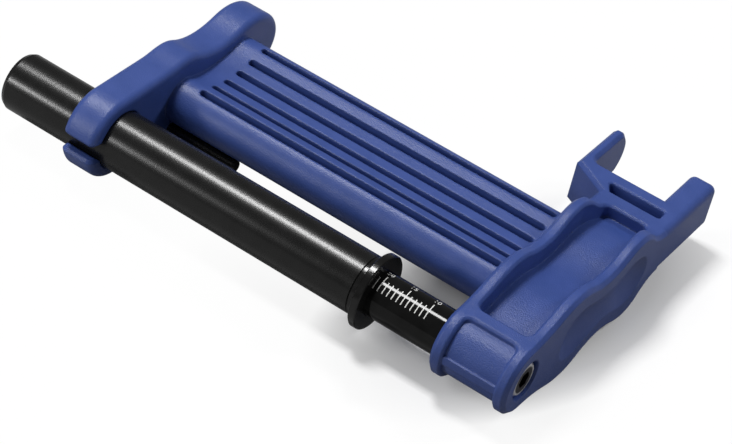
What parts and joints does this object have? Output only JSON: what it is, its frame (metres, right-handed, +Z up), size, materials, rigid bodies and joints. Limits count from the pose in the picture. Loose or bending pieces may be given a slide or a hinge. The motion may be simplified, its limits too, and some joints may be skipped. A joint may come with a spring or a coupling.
{
  "type": "chain slack gauge",
  "caption": "Hand gauge for drive chain slack: a moulded grip frame with a chain fork, and a tube that slides along a graduated rod.",
  "frame": {"origin": "middle of the tube's contact face, on the tube axis, with the tube at rest", "axes": "+X along the tube towards the fork head, +Y from the tube across the grip to the fork, +Z up, square to the frame"},
  "size_m": [0.1166, 0.0821, 0.0192],
  "materials": {
    "moulded_blue": "blue moulded plastic, finely sparked, satin",
    "tube_black": "black anodised, satin",
    "bush_black": "black anodised, satin",
    "plug_black": "black anodised, satin",
    "rod_black": "black anodised, polished, with white graduation lines",
    "pin_black": "black oxide steel",
    "ring_rubber": "smooth rubber",
    "guide_plastic": "natural acetal, turned",
    "screw_steel": "nickel plated steel"
  },
  "bodies": {
    "grip": {"frame": "moulded_blue", "scale_rod": "rod_black", "guide_collar": "guide_plastic", "guide_screw": "screw_steel", "screw_washer": "screw_steel", "rod_screw": "screw_steel", "stub_pin": "pin_black"},
    "ring": {"drag_ring": "ring_rubber"},
    "tube": {"slide_tube": "tube_black", "flange_bush": "bush_black", "end_plug": "plug_black"}
  },
  "joints": [
    {"name": "tube_turn", "type": "hinge", "parent": "grip", "child": "ring", "pos_m": [0.0262, 0, 0], "axis": [1, 0, 0], "continuous": true},
    {"name": "tube_slide", "type": "slide", "parent": "ring", "child": "tube", "axis": [1, 0, 0], "range_m": [-0.0457, 0.0154]}
  ]
}
